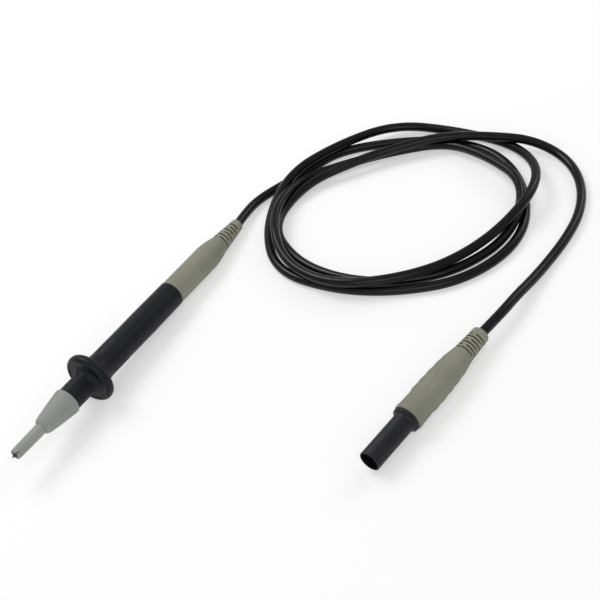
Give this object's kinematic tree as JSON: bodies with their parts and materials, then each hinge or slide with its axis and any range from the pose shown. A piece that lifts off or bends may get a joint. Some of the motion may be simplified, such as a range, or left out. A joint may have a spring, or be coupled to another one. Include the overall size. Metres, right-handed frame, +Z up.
{
  "type": "test probe lead",
  "caption": "Insulated hand test probe with finger guard and retracting tip sheath, flexible black cord laid in loose turns, and a shrouded straight safety plug.",
  "frame": {"origin": "on the floor under the middle of the bounding box of the hand probe, which lies on its finger guard and rear grip", "axes": "+X from the needle tip towards the cord end of the probe, +Z up, the coil and the plug at -Y"},
  "size_m": [0.2326, 0.1447, 0.0212],
  "materials": {
    "needle_steel": "polished",
    "sheath_grey": "matte",
    "nose_grey": "matte",
    "handle_black": "satin",
    "grip_beige": "soft matte",
    "cord_black": "satin",
    "shroud_black": "satin",
    "core_black": "matte",
    "spring_steel": "polished",
    "washer_black": "matte",
    "brass": "turned",
    "nickel": "plated",
    "copper": "stranded",
    "insulation_white": "matte"
  },
  "bodies": {
    "lead": {"cord_coil": "cord_black", "cord_plug_lead": "cord_black", "cord_probe_lead": "cord_black", "handle_body": "handle_black", "needle_carrier": "brass", "nose_cone": "nose_grey", "pin_tip_cap": "core_black", "plug_conductor_end": "copper", "plug_core": "core_black", "plug_crimp_sleeve": "brass", "plug_grip": "grip_beige", "plug_insulation_end": "insulation_white", "plug_jacket_end": "cord_black", "plug_pin": "nickel", "plug_shroud": "shroud_black", "probe_conductor_end": "copper", "probe_crimp_sleeve": "brass", "probe_insulation_end": "insulation_white", "probe_jacket_end": "cord_black", "rear_grip": "grip_beige", "sheath_spring": "spring_steel", "spring_stop_washer": "washer_black", "tip_needle": "needle_steel"},
    "sheath": {"tip_sheath": "sheath_grey"},
    "cage": {"contact_cage": "nickel"}
  },
  "joints": [
    {"name": "sheath_slide", "type": "slide", "parent": "lead", "child": "sheath", "axis": [0.9977, 0, -0.0679], "range_m": [0, 0.009], "stiffness_N_per_m": 150, "springref_m": -0.006, "deforming": ["sheath_spring"]},
    {"name": "cage_spin", "type": "hinge", "parent": "lead", "child": "cage", "pos_m": [-0.00571, -0.11973, 0.00575], "axis": [-0.9923, 0.1236, 0], "continuous": true}
  ]
}
